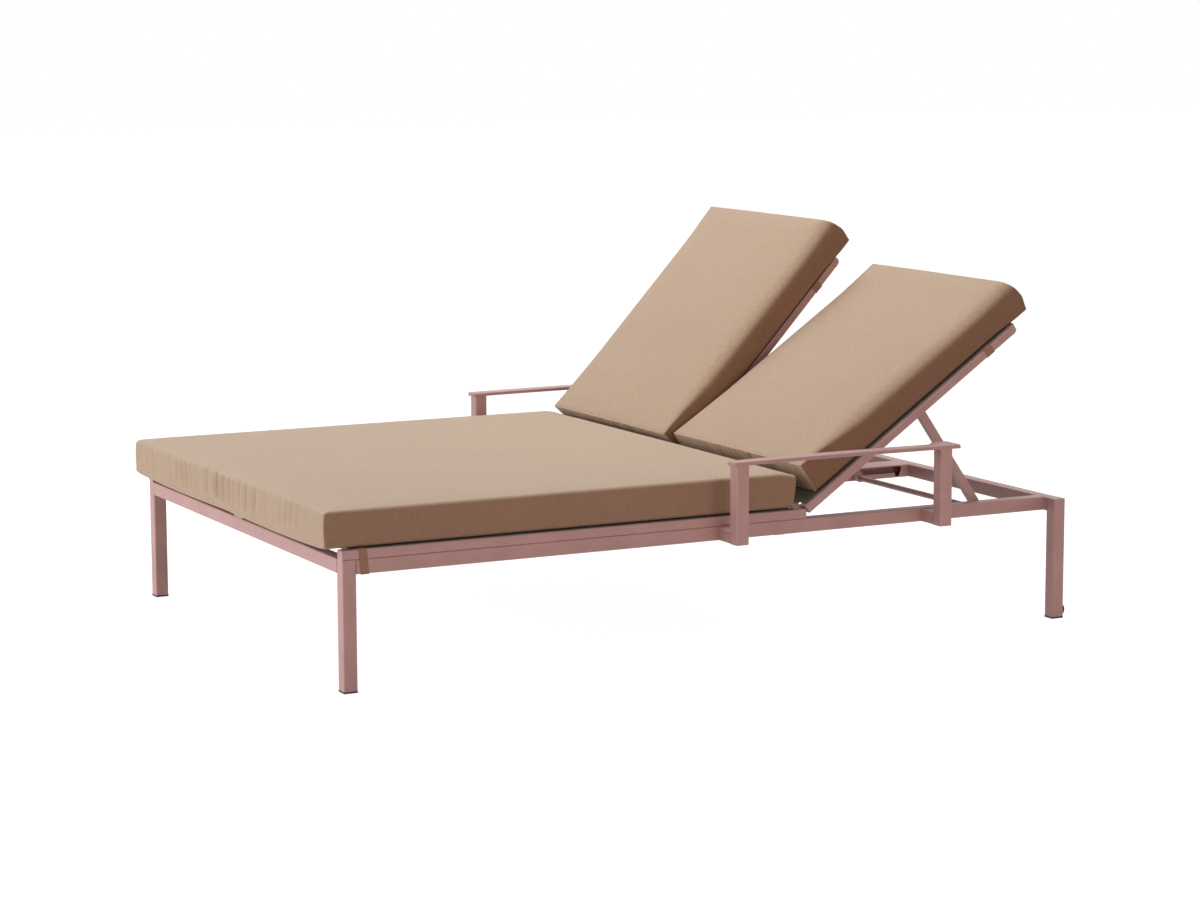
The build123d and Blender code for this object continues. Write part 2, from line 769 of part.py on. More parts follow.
# Props: a U of two flat legs joined by a crossbar at the foot
prop_outer_face = rail_inner - prop_rail_gap
prop_outer_x = prop_outer_face - prop_thickness
prop_inner_x = inner_bar_far + prop_bar_gap
leg_places = (
    ("outer", prop_outer_x, prop_outer_face + rest_gap, bar_inner - rest_gap / 2, 1),
    ("inner", prop_inner_x, inner_bar_far + rest_gap / 2, prop_inner_x - rest_gap, -1),
)
crossbar_start = beam_half + crossbar_end_gap
crossbar_end = rail_inner - crossbar_end_gap
for side, tag, angle in sides:
    pivot, foot, lean = prop_places(tag, angle)
    for leg_name, leg_x, spacer_from, spacer_to, outward in leg_places:
        leg_middle = ((pivot[0] + foot[0]) / 2, (pivot[1] + foot[1]) / 2)
        with BuildPart() as prop_leg:
            with BuildSketch(along_x(side * leg_x, 0, 0)):
                with Locations(Location(leg_middle + (0,), lean)):
                    SlotCenterToCenter(prop_length, prop_depth)
                with Locations(pivot):
                    Circle(pivot_radius + running_gap, mode=Mode.SUBTRACT)
                with Locations(foot):
                    Circle(crossbar_radius + running_gap, mode=Mode.SUBTRACT)
            extrude(amount=side * prop_thickness)
        save(prop_leg, f"prop_{leg_name}_leg_{tag}")

    with BuildPart() as prop_crossbar:
        with BuildSketch(along_x(side * crossbar_start, foot[0], foot[1])):
            Circle(crossbar_radius)
        extrude(amount=side * (crossbar_end - crossbar_start))
        with BuildSketch(along_x(side * (crossbar_start + crossbar_wall), foot[0], foot[1])):
            Circle(crossbar_radius - crossbar_wall)
        extrude(amount=side * (crossbar_end - crossbar_start), mode=Mode.SUBTRACT)
    save(prop_crossbar, f"prop_crossbar_{tag}")

    # Pivot bolts with their spacers, fixed to the backrest's bars
    with BuildPart() as prop_pivots:
        for leg_name, leg_x, spacer_from, spacer_to, outward in leg_places:
            bar_face = bar_inner if outward == 1 else inner_bar_far
            head_side = leg_x if outward == 1 else leg_x + prop_thickness
            bolt_start = head_side - outward * rest_gap
            bolt_end = bar_face + outward * pivot_bite
            with BuildSketch(along_x(side * bolt_start, pivot[0], pivot[1])):
                Circle(pivot_radius)
            extrude(amount=side * (bolt_end - bolt_start))
            with BuildSketch(along_x(side * bolt_start, pivot[0], pivot[1])):
                RegularPolygon(pin_head_radius, head_sides)
            extrude(amount=-side * outward * pin_head_height)
            with BuildSketch(along_x(side * spacer_from, pivot[0], pivot[1])):
                Circle(pivot_spacer_radius)
            extrude(amount=side * (spacer_to - spacer_from))
    save(prop_pivots, f"prop_pivots_{tag}")


# Cushion cross-section: seams at four corners, crowned top, bulged sides, underside on the slings
def cushion_outline(plane, low_points, high_corners, crown, bulge):
    """Sketch of a cushion's section from its underside's points and its upper seam corners."""
    first, last = low_points[0], low_points[-1]
    far_corner, near_corner = high_corners
    swing = bulge if last[0] > first[0] else -bulge
    bends = low_points[1:-1]
    with BuildSketch(plane) as outline:
        with BuildLine():
            Line(first, bends[0])
            for start, middle, end in zip(bends[0::3], bends[1::3], bends[2::3]):
                ThreePointArc(start, middle, end)
            for start, end in zip(bends[2:-1:3], bends[3::3]):
                Line(start, end)
            Line(bends[-1], last)
            ThreePointArc(last, (last[0] + swing, (last[1] + far_corner[1]) / 2), far_corner)
            top_middle = ((far_corner[0] + near_corner[0]) / 2, far_corner[1] + crown)
            ThreePointArc(far_corner, top_middle, near_corner)
            ThreePointArc(near_corner, (first[0] - swing, (first[1] + near_corner[1]) / 2), first)
        make_face()
    return outline.sketch


# Crown along a cushion: full in the middle, little at both ends
def crown_at(share, end_rise, middle_rise):
    """Height of the crown at a share of the cushion's length."""
    return end_rise + (middle_rise - end_rise) * 4 * share * (1 - share)


# Seat cushion: one wide piece, its foot end boxed, its head end drawn in under the backrests
sling_middle = (bar_inner + centre_bar_half) / 2
sling_middle_top = seat_sling_top - sling_sag
cushion_front = front - foot_overhang
cushion_rear = hinge_y - cushion_rear_gap
cushion_run = cushion_rear - cushion_front
body_shares = (0.03, 0.16, 0.33, 0.5, 0.67, 0.84)
seat_stations = [(cushion_front - end_bulge, end_draw / 2, end_draw / 2, end_draw / 2, 0)]
seat_stations.append((cushion_front, side_draw / 2, 0, foot_end_lift, 0))
for share in body_shares:
    seat_stations.append((cushion_front + share * cushion_run, 0, 0, 0, share))
seat_stations.append((cushion_rear - rear_draw_length, 0, 0, 0, 1))
first_draw = end_share * rear_draw
seat_stations.append((cushion_rear - end_share * rear_draw_length, 0, first_draw, first_draw, 1))
seat_stations.append((cushion_rear, side_draw, rear_draw, rear_draw, 1))
seat_sections = []
with BuildPart() as seat_cushion:
    for station_y, draw, drop, lift, share in seat_stations:
        half = cushion_half_width - draw
        low_half = (
            (centre_bar_half, centre_bar_top + rest_gap + lift),
            (sling_middle, sling_middle_top + rest_gap + lift),
            (bar_inner - draw, seat_bar_top + rest_gap + lift),
            (half, cushion_seam_low + lift / 2),
        )
        mirrored = tuple((-x, z) for x, z in reversed(low_half))
        high = ((half, cushion_seam_high - drop), (-half, cushion_seam_high - drop))
        crown = crown_at(share, end_crown, seat_crown)
        station = Plane.XZ.offset(-station_y)
        seat_sections.append(
            cushion_outline(station, mirrored + low_half, high, crown, cushion_bulge)
        )
    loft(seat_sections, ruled=True)
save(seat_cushion, "seat_cushion")

# Back cushions: the underside sags on the sling and lies flat over the top bar
back_sling_middle = (bar_inner + inner_bar_far) / 2
back_run = back_cushion_end - back_cushion_start
sag_end = top_bar_start - bar_width
on_sling = -sling_inset - sling_sag
on_bar = sling_inset
back_stations = [(back_cushion_start, back_end_draw, on_sling)]
for share in body_shares[:-1]:
    back_stations.append((back_cushion_start + share * back_run, 0, on_sling))
back_stations.append((sag_end, 0, on_sling))
back_stations.append((top_bar_start - rest_gap, 0, on_bar))
back_stations.append((back_cushion_end - rear_draw_length, 0, on_bar))
back_stations.append((back_cushion_end, back_end_draw, on_bar))
back_stations.append((back_cushion_end + end_bulge, end_draw, on_bar))
for side, tag, angle in sides:
    back_sections = []
    with BuildPart() as back_cushion:
        for up, draw, rise in back_stations:
            lift = draw / 2
            inner_x = back_cushion_inner + lift
            outer_x = back_cushion_outer - lift
            low = (
                (side * inner_x, back_cushion_low + lift),
                (side * inner_bar_far, rest_gap + lift),
                (side * back_sling_middle, rest_gap + lift + rise),
                (side * (bar_inner - lift), rest_gap + lift),
                (side * outer_x, back_cushion_low + lift),
            )
            high = (
                (side * outer_x, back_cushion_high - lift),
                (side * inner_x, back_cushion_high - lift),
            )
            crown = crown_at(min(1, (up - back_cushion_start) / back_run), end_crown, back_crown)
            back_sections.append(
                cushion_outline(rib_plane(angle, up), low, high, crown, cushion_bulge)
            )
        loft(back_sections, ruled=True)
    save(back_cushion, f"back_cushion_{tag}")

    # Straps that hold the cushion to both bars of the frame
    with BuildPart() as back_straps:
        for bar_name, bar_x, inward in bar_places:
            with BuildSketch(rib_plane(angle, back_strap_up)):
                with Locations((side * bar_x, -back_bar_height / 2)):
                    band = rest_gap + strap_thickness
                    Rectangle(bar_width + 2 * band, back_bar_height + 2 * band)
                    Rectangle(
                        bar_width + 2 * rest_gap, back_bar_height + 2 * rest_gap, mode=Mode.SUBTRACT
                    )
                open_x = bar_x + inward * (bar_width / 2 - strap_end_inset + bar_width / 2)
                with Locations((side * open_x, -back_bar_height / 2)):
                    Rectangle(bar_width, 2 * back_bar_height, mode=Mode.SUBTRACT)
            extrude(amount=-back_strap_width)
    save(back_straps, f"back_straps_{tag}")

# Foot-end straps around the seat bars and the rails
with BuildPart() as foot_straps:
    for side, tag, angle in sides:
        with BuildSketch(Plane.XZ.offset(-(front + foot_strap_back))):
            wrap_height = seat_bar_top - rail_bottom
            with Locations((side * (frame_half - tube / 2), rail_bottom + wrap_height / 2)):
                band = rest_gap + strap_thickness
                Rectangle(tube + 2 * band, wrap_height + 2 * band)
                Rectangle(tube + 2 * rest_gap, wrap_height + 2 * rest_gap, mode=Mode.SUBTRACT)
            open_x = bar_inner + strap_end_inset - tube / 2
            with Locations((side * open_x, rail_bottom + wrap_height / 2)):
                Rectangle(tube, 2 * wrap_height, mode=Mode.SUBTRACT)
        extrude(amount=-foot_strap_width)
save(foot_straps, "foot_straps")
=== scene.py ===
import json
import bpy
import bmesh
import numpy as np
from math import cos, pi, radians, sin
from mathutils import Matrix, Vector


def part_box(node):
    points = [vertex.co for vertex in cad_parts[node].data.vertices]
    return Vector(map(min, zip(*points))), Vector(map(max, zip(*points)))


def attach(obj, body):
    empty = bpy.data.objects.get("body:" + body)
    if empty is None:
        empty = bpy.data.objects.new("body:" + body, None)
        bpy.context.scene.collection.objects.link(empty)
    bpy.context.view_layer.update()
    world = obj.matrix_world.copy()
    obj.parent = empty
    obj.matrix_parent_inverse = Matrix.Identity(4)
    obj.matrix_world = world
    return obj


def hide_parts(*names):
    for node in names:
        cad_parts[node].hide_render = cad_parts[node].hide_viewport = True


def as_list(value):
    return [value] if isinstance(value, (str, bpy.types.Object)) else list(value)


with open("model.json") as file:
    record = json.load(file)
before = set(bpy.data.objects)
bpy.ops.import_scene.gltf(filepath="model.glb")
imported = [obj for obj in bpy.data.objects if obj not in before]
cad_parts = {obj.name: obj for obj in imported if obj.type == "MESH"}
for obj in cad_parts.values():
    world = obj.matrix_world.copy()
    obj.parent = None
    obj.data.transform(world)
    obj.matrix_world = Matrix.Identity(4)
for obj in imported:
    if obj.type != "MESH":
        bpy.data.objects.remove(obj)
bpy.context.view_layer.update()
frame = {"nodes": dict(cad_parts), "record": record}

# Front faces of the front legs, and the line that both backrests turn on, in metres
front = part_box("front_leg_right")[0][1]
hinge_y, hinge_z = front + 1.2375, 0.3380

# Camera at the photograph's own viewpoint: its place, the way it looks, its roll and its lens
eye = Vector((7.131288, front - 2.643769, 1.594389))
look_azimuth, look_height, look_roll = radians(62.81037), radians(8.36604), radians(-0.16155)
lens, film_width, view_depth = 91.680, 36.0, 200.0


def make_camera():
    away = Vector((
        sin(look_azimuth) * cos(look_height), -cos(look_azimuth) * cos(look_height), sin(look_height)
    ))
    level = (-away).cross(Vector((0, 0, 1))).normalized()
    upright = level.cross(-away)
    across = level * cos(look_roll) + upright * sin(look_roll)
    upward = upright * cos(look_roll) - level * sin(look_roll)
    data = bpy.data.cameras.new("camera")
    data.sensor_fit = "HORIZONTAL"
    data.sensor_width = film_width
    data.lens = lens
    data.clip_end = view_depth
    camera = bpy.data.objects.new("camera", data)
    bpy.context.collection.objects.link(camera)
    turn = Matrix((across, upward, away)).transposed().to_4x4()
    camera.matrix_world = Matrix.Translation(eye) @ turn
    bpy.context.scene.camera = camera


def scaled(colour, share):
    return tuple(channel * share for channel in colour)


# One node tree, with short calls for the nodes that the materials share
class Graph:
    def __init__(self, tree):
        self.nodes, self.links = tree.nodes, tree.links
        self.nodes.clear()

    # A socket is linked, or holds a number or colour of its own
    def feed(self, made, key, value):
        if isinstance(value, bpy.types.NodeSocket):
            self.links.new(value, made.inputs[key])
        else:
            made.inputs[key].default_value = value

    # Sockets are given by name, with _ for a space
    def add(self, kind, **sockets):
        made = self.nodes.new(kind)
        for key, value in sockets.items():
            self.feed(made, key.replace("_", " "), value)
        return made

    def coordinates(self, kind):
        return self.add("ShaderNodeTexCoord").outputs[kind]

    def noise(self, coords, scale, detail=2.0, rough=0.5):
        made = self.add(
            "ShaderNodeTexNoise", Vector=coords, Scale=scale, Detail=detail, Roughness=rough
        )
        return made.outputs["Fac"]

    def math(self, operation, *values):
        made = self.nodes.new("ShaderNodeMath")
        made.operation = operation
        for place, value in enumerate(values):
            self.feed(made, place, value)
        return made.outputs[0]

    def mix(self, factor, one, two, blend="MIX"):
        made = self.nodes.new("ShaderNodeMix")
        made.data_type = "RGBA"
        made.blend_type = blend
        for key, value in (("Factor", factor), ("A", one), ("B", two)):
            self.feed(made, key, value)
        return made.outputs["Result"]

    # From low_colour to high_colour as value runs from start to end
    def ramp(self, value, low_colour, high_colour, start=0.3, end=0.7):
        made = self.add("ShaderNodeValToRGB", Fac=value)
        low, high = made.color_ramp.elements
        low.position, low.color = start, (*low_colour, 1)
        high.position, high.color = end, (*high_colour, 1)
        return made.outputs["Color"]

    # One colour, from a low to a high share of itself
    def tint(self, value, colour, low, high, start=0.3, end=0.7):
        return self.ramp(value, scaled(colour, low), scaled(colour, high), start, end)

    # From low to high as value runs from start to end
    def spread(self, value, low, high, start=0.0, end=1.0):
        made = self.add(
            "ShaderNodeMapRange", Value=value, From_Min=start, From_Max=end, To_Min=low, To_Max=high
        )
        return made.outputs["Result"]

    # The finished surface, with a bump from height; its other sockets are given by name
    def surface(self, colour, rough, height, depth, strength, **sockets):
        bump = self.add("ShaderNodeBump", Height=height, Distance=depth, Strength=strength)
        shader = self.add(
            "ShaderNodeBsdfPrincipled", Base_Color=colour, Roughness=rough,
            Normal=bump.outputs["Normal"], **sockets,
        )
        self.add("ShaderNodeOutputMaterial", Surface=shader.outputs[0])


def new_material(name):
    made = bpy.data.materials.new(name)
    made.use_nodes = True
    return made, Graph(made.node_tree)


plain_white = (1.0, 1.0, 1.0)


# Powder coat: orange peel, faint cloudiness, and a painted highlight that makes its edges a little
# lighter
def powder_coat(name, colour):
    made, graph = new_material(name)
    coords = graph.coordinates("Object")
    cloud = graph.noise(coords, scale=9.0, detail=4.0)
    peel = graph.noise(coords, scale=900.0)
    tint = graph.tint(cloud, colour, low=0.94, high=1.05)
    speck = graph.tint(peel, plain_white, low=0.96, high=1.03, start=0.35, end=0.65)
    coat = graph.mix(1.0, tint, speck, "MULTIPLY")
    # painted highlight: sharp edges, found by pointiness, are lightened where the cloud is high
    edge = graph.add("ShaderNodeNewGeometry").outputs["Pointiness"]
    painted_edge_highlight = graph.spread(edge, low=0.0, high=0.8, start=0.53, end=0.62)
    coat_with_highlight = graph.mix(graph.math("MULTIPLY", painted_edge_highlight, cloud), coat, (*scaled(colour, 1.35), 1))
    rough = graph.spread(cloud, low=0.40, high=0.52)
    graph.surface(coat_with_highlight, rough, peel, depth=0.0002, strength=0.25, Specular_IOR_Level=0.45)
    return made


# Warp and weft as sine waves over the flat coordinates; turns is in radians for each metre
def warp_and_weft(graph, turns):
    flat = graph.add("ShaderNodeSeparateXYZ", Vector=graph.coordinates("UV"))
    return [graph.math("SINE", graph.math("MULTIPLY", flat.outputs[way], turns)) for way in (0, 1)]


# Woven cloth: warp and weft with slubs and soft mottling. Painted shade darkens it where the piece's
# lit_share value is low, and shade_shares are what is left of each channel where it is zero
def woven(name, colour, thread, contrast=0.15, sheen=0.25, shade_shares=None):
    made, graph = new_material(name)
    body = graph.coordinates("Object")
    warp, weft = warp_and_weft(graph, 2 * pi / thread)
    weave = graph.math("MULTIPLY_ADD", graph.math("MULTIPLY", warp, weft), 0.5, 0.5)
    slub = graph.noise(body, scale=260.0, detail=3.0, rough=0.6)
    mottle = graph.noise(body, scale=60.0, detail=4.0, rough=0.65)
    cloud = graph.noise(body, scale=5.0)
    weave_share, slub_share, mottle_share = 0.15, 0.65, 0.20
    yarn = graph.math("MULTIPLY_ADD", slub, slub_share, graph.math("MULTIPLY", mottle, mottle_share))
    pattern = graph.math("MULTIPLY_ADD", weave, weave_share, yarn)
    tint = graph.tint(pattern, colour, low=1 - contrast, high=1 + contrast, start=0.34, end=0.66)
    clouded = graph.ramp(cloud, (0.97, 0.965, 0.96), plain_white)
    shown = graph.mix(1.0, tint, clouded, "MULTIPLY")
    # painted shade on the cover's sides and in its creases, from its lit_share value
    if shade_shares is not None:
        lit_share = graph.nodes.new("ShaderNodeAttribute")
        lit_share.attribute_name = "lit_share"
        painted_shade = graph.math("SUBTRACT", 1.0, lit_share.outputs["Fac"])
        shown = graph.mix(painted_shade, shown, (*shade_shares, 1), "MULTIPLY")
    height = graph.math("MULTIPLY_ADD", weave, 0.6, graph.math("MULTIPLY", slub, 0.8))
    graph.surface(
        shown, 0.85, height, depth=0.0006, strength=0.35,
        Sheen_Weight=sheen, Sheen_Roughness=0.5, Specular_IOR_Level=0.25,
    )
    return made


# Coated mesh sling: crossing yarns with dark holes between them
def mesh_cloth(name, colour, pitch):
    made, graph = new_material(name)
    warp, weft = (graph.math("ABSOLUTE", wave) for wave in warp_and_weft(graph, pi / pitch))
    yarn = graph.math("MAXIMUM", warp, weft)
    fleck = graph.noise(graph.coordinates("Object"), scale=120.0, detail=3.0)
    tone = graph.math("MULTIPLY", yarn, graph.math("ADD", fleck, 0.5))
    tint = graph.tint(tone, colour, low=0.45, high=1.25, start=0.35, end=0.95)
    graph.surface(tint, 0.75, yarn, depth=0.0005, strength=0.5, Specular_IOR_Level=0.2)
    return made


# Moulded plastic and rubber: fine grain over a slightly uneven gloss
def moulded(name, colour, grain, rough_low, rough_high, depth):
    made, graph = new_material(name)
    coords = graph.coordinates("Object")
    fine = graph.noise(coords, scale=grain, detail=3.0, rough=0.6)
    cloud = graph.noise(coords, scale=30.0, detail=3.0)
    tint = graph.tint(cloud, colour, low=0.8, high=1.3)
    rough = graph.spread(fine, low=rough_low, high=rough_high)
    graph.surface(tint, rough, fine, depth=depth, strength=0.4)
    return made


# Zinc-plated steel: spangle in its tone, and an uneven gloss
def plated(name, colour):
    made, graph = new_material(name)
    coords = graph.coordinates("Object")
    spangle = graph.add("ShaderNodeTexVoronoi", Vector=coords, Scale=380.0).outputs["Distance"]
    tint = graph.tint(spangle, colour, low=0.85, high=1.1, start=0.0, end=0.8)
    fine = graph.noise(coords, scale=700.0)
    rough = graph.spread(fine, low=0.28, high=0.45)
    graph.surface(tint, rough, fine, depth=0.0001, strength=0.2, Metallic=1.0)
    return made


coat_colour = (0.480, 0.298, 0.290)
seat_colour = (0.505, 0.395, 0.287)
# painted shade: the back cushions' cloth is a darker, warmer copy of the seat's cloth, for the light
# the tilted backs get
back_shaded_colour = (0.485, 0.365, 0.262)
strap_colour = (0.380, 0.225, 0.165)
sling_colour = (0.190, 0.218, 0.180)
plastic_colour = (0.016, 0.015, 0.015)
rubber_colour = (0.022, 0.020, 0.020)
steel_colour = (0.62, 0.61, 0.58)
# painted shade: the share of each channel that is left on a cover's sides and in its creases
seat_shade_shares = (0.74, 0.61, 0.57)
back_shade_shares = (0.58, 0.44, 0.375)
cushion_thread, strap_thread, welt_thread, sling_pitch = 0.0016, 0.0022, 0.0012, 0.0014
materials = {
    "frame_coat": powder_coat("frame_coat", coat_colour),
    "cushion_fabric": woven(
        "cushion_fabric", seat_colour, cushion_thread, shade_shares=seat_shade_shares
    ),
    "strap_fabric": woven("strap_fabric", strap_colour, strap_thread, contrast=0.14, sheen=0.15),
    "sling_mesh": mesh_cloth("sling_mesh", sling_colour, sling_pitch),
    "black_plastic": moulded(
        "black_plastic", plastic_colour, grain=900.0, rough_low=0.45, rough_high=0.6, depth=0.0002
    ),
    "wheel_rubber": moulded(
        "wheel_rubber", rubber_colour, grain=500.0, rough_low=0.6, rough_high=0.8, depth=0.0003
    ),
    "fastener_steel": plated("fastener_steel", steel_colour),
}
# the back cushions' cloth, with its painted shade
back_cloth = woven("back_cloth", back_shaded_colour, cushion_thread, shade_shares=back_shade_shares)
welt_cloth = woven("welt_cloth", scaled(seat_colour, 1.06), welt_thread, contrast=0.08)
slots = {part["node"]: part["material_slot"] for part in frame["record"]["subparts"]}
for name, piece in frame["nodes"].items():
    piece.data.materials.clear()
    piece.data.materials.append(materials[slots[name]])


# Mesh helpers
def shade_smooth(data):
    for polygon in data.polygons:
        polygon.use_smooth = True


def mesh_object(name, points, faces, material):
    data = bpy.data.meshes.new(name)
    data.from_pydata([tuple(p) for p in points], [], [tuple(f) for f in faces])
    data.update()
    made = bpy.data.objects.new(name, data)
    bpy.context.collection.objects.link(made)
    data.materials.append(material)
    shade_smooth(data)
    return made


def only(piece):
    bpy.ops.object.select_all(action="DESELECT")
    piece.select_set(True)
    bpy.context.view_layer.objects.active = piece


# Three numbers from each row of one of a mesh's tables
def vectors_of(rows, key):
    found = np.empty(len(rows) * 3)
    rows.foreach_get(key, found)
    return found.reshape(-1, 3)


def points_of(piece):
    return vectors_of(piece.data.vertices, "co")


def set_points(piece, points):
    piece.data.vertices.foreach_set("co", np.asarray(points, float).ravel())
    piece.data.update()


def smooth_step(value, low, high):
    t = np.clip((value - low) / (high - low), 0, 1)
    return t * t * (3 - 2 * t)


world_axes = np.eye(3)


# Flat coordinates in metres: each face is projected along the axis that it faces most
def flat_coordinates(piece, axes=world_axes):
    data = piece.data
    layer = data.uv_layers[0] if data.uv_layers else data.uv_layers.new(name="flat")
    facing = np.abs(vectors_of(data.polygons, "normal") @ axes.T).argmax(axis=1)
    corner_vertex = np.empty(len(data.loops), int)
    data.loops.foreach_get("vertex_index", corner_vertex)
    corner_counts = np.empty(len(data.polygons), int)
    data.polygons.foreach_get("loop_total", corner_counts)
    facing = np.repeat(facing, corner_counts)
    first = np.where(facing == 0, 1, 0)
    second = np.where(facing == 2, 1, 2)
    rows = np.arange(len(corner_vertex))
    corners = (points_of(piece) @ axes.T)[corner_vertex]
    flat = np.stack([corners[rows, first], corners[rows, second]], axis=1)
    layer.data.foreach_set("uv", flat.ravel())


# A closed grid over the surface of a box, as shares of its three sides
def box_grid(*steps):
    index, points, faces = {}, [], []

    def place(*key):
        if key not in index:
            index[key] = len(points)
            points.append(tuple(steps[axis][key[axis]] for axis in range(3)))
        return index[key]

    for axis in range(3):
        one, two = [other for other in range(3) if other != axis]
        for end in (0, len(steps[axis]) - 1):
            for a in range(len(steps[one]) - 1):
                for b in range(len(steps[two]) - 1):
                    corners = []
                    for da, db in ((0, 0), (1, 0), (1, 1), (0, 1)):
                        at = [0, 0, 0]
                        at[axis], at[one], at[two] = end, a + da, b + db
                        corners.append(place(*at))
                    outward = (end > 0) != (axis == 1)
                    faces.append(corners if outward else corners[::-1])
    return np.array(points, float), faces


# Shares along one side: close together over the rounded edges, even between them
def steps_along(length, low_round, high_round, cell):
    round_shares = (0.0, 0.05, 0.12, 0.21, 0.32, 0.45, 0.60, 0.78)
    inner_low, inner_high = low_round, length - high_round
    count = max(2, round((inner_high - inner_low) / cell))
    middle = [inner_low + (inner_high - inner_low) * i / count for i in range(count + 1)]
    low = [low_round * share for share in round_shares]
    high = [length - high_round * share for share in reversed(round_shares)]
    return np.array(low + middle + high) / length


# A box grid curled over its edges. Each axis has a radius at either end, one for all points or for each
def curled(shares, lengths, low_radii, high_radii):
    tiny = 1e-9
    half = np.array(lengths) / 2
    centred = (shares - 0.5) * np.array(lengths)
    radius = np.stack(
        [np.where(centred[:, axis] > 0, high_radii[axis], low_radii[axis]) for axis in range(3)], 1
    )
    core = np.clip(centred, radius - half, half - radius)
    out = (centred - core) / radius
    reach = np.abs(out).max(axis=1)
    length = np.linalg.norm(out, axis=1)
    to_sphere = np.where(length > tiny, reach / np.maximum(length, tiny), 0)
    return core + out * to_sphere[:, None] * radius + half


# Painted light and shade on a cover, in its own axes: its lit share is full where it faces up, +Z, or
# towards its lower end, -Y, none on its other sides, which get painted shade, and less in its creases,
# painted shade too, whose depth runs from 0 to 1
def mark_painted_light(piece, crease):
    crease_shade_share = 0.75
    normals = vectors_of(piece.data.vertex_normals, "vector")
    lit_share = np.maximum(
        smooth_step(normals[:, 2], 0.25, 0.80), smooth_step(-normals[:, 1], 0.30, 0.80)
    )
    # painted shade in the creases
    lit_share *= 1 - crease_shade_share * crease
    layer = piece.data.attributes.new("lit_share", "FLOAT", "POINT")
    layer.data.foreach_set("value", lit_share)


# Cloth pressure fills the cover, with no gravity; how far a point may move is capped
def inflate(piece, cap, held):
    rest = points_of(piece)
    pressure, frames, tiny = 4.0, 20, 1e-9
    only(piece)
    group = piece.vertex_groups.new(name="held")
    for number in np.nonzero(held)[0]:
        group.add([int(number)], 1.0, "REPLACE")
    cloth = piece.modifiers.new("cloth", "CLOTH")
    settings = cloth.settings
    settings.quality = 5
    settings.mass = 0.05
    settings.tension_stiffness = 18
    settings.compression_stiffness = 18
    settings.shear_stiffness = 8
    settings.bending_stiffness = 0.8
    settings.use_pressure = True
    settings.uniform_pressure_force = pressure
    settings.vertex_group_mass = group.name
    settings.effector_weights.gravity = 0.0
    cloth.collision_settings.use_collision = False
    cloth.point_cache.frame_start = 1
    cloth.point_cache.frame_end = frames
    for number in range(1, frames + 1):
        bpy.context.scene.frame_set(number)
    swollen = piece.evaluated_get(bpy.context.evaluated_depsgraph_get())
    shift = vectors_of(swollen.to_mesh().vertices, "co") - rest
    swollen.to_mesh_clear()
    piece.modifiers.remove(cloth)
    bpy.context.scene.frame_set(1)
    far = np.linalg.norm(shift, axis=1)
    capped = cap * np.tanh(far / cap)
    return rest + shift * (capped / np.maximum(far, tiny))[:, None]


# Extra columns over the end that faces -Y, up to end_line, for its gathers
def refine_end(piece, end_line, cuts):
    built = bmesh.new()
    built.from_mesh(piece.data)
    edges = []
    for edge in built.edges:
        one, two = (np.array(corner.co) for corner in edge.verts)
        in_end = one[1] < end_line and two[1] < end_line
        if in_end and np.abs(one - two).argmax() == 0:
            edges.append(edge)
    bmesh.ops.subdivide_edges(built, edges=edges, cuts=cuts, use_grid_fill=True)
    built.to_mesh(piece.data)
    built.free()
    piece.data.update()
    shade_smooth(piece.data)


# A cover that is filled while its held points keep their place, then smoothed once and refined
def filled_cover(name, points, faces, material, cap, held, end_line, cuts):
    piece = mesh_object(name, points, faces, material)
    filled = inflate(piece, cap, held)
    filled[held] = points[held]
    set_points(piece, filled)
    only(piece)
    smooth = piece.modifiers.new("smooth", "SUBSURF")
    smooth.levels = smooth.render_levels = 1
    bpy.ops.object.modifier_apply(modifier=smooth.name)
    refine_end(piece, end_line, cuts)
    return piece


# Irregular gathers as a height between about -0.5 and 0.4: low in narrow creases, high on soft folds
def gathers(along, pitches, seed, sharp=0.15):
    wander_share, wander_pitches, swell_pitches, level = 0.45, 7.3, 5.1, 0.66
    maker = np.random.RandomState(seed)
    total = np.zeros_like(along)
    for pitch in pitches:
        phase, drift, swell = maker.uniform(0, 2 * pi, 3)
        wander = wander_share * pitch * np.sin(along * 2 * pi / (pitch * wander_pitches) + drift)
        wave = np.sin((along + wander) * pi / pitch + phase)
        depth = 0.6 + 0.4 * np.sin(along * 2 * pi / (pitch * swell_pitches) + swell)
        total += (np.sqrt(wave ** 2 + sharp ** 2) - level) * depth / len(pitches)
    return total


# How deep a crease is, from 0 to 1, where gathers have the given strength
def crease_depth(pucker, strength):
    gain = 1.6
    return np.clip(-gain * pucker, 0, 1) * strength


# Seat cushion, in metres: the space its solid holds
seat_half, seat_front, seat_rear = 0.6725, front - 0.0445, front + 1.2300
seat_low, seat_top = 0.3450, 0.4325

# What it lies on, by half widths and heights: the side bars' inner faces, half the centre bar, the
# tops of both, and the slings at their lowest
bar_inner, centre_half = 0.650, 0.028
bar_top, centre_top, sling_low = 0.3392, 0.3365, 0.3336


# It hangs with the slings between the bars, and its edges rise to their own height over the side bars
def seat_underside(x):
    x = np.abs(x)
    edge_reach = 0.020
    middle, half = (bar_inner + centre_half) / 2, (bar_inner - centre_half) / 2
    share = np.clip((x - middle) / half, -1, 1)
    hung = sling_low + np.where(share > 0, bar_top - sling_low, centre_top - sling_low) * share ** 2
    edge = bar_top + (seat_low - bar_top) * np.clip((x - bar_inner) / edge_reach, 0, 1)
    return np.where(x < centre_half, centre_top, np.where(x > bar_inner, edge, hung))


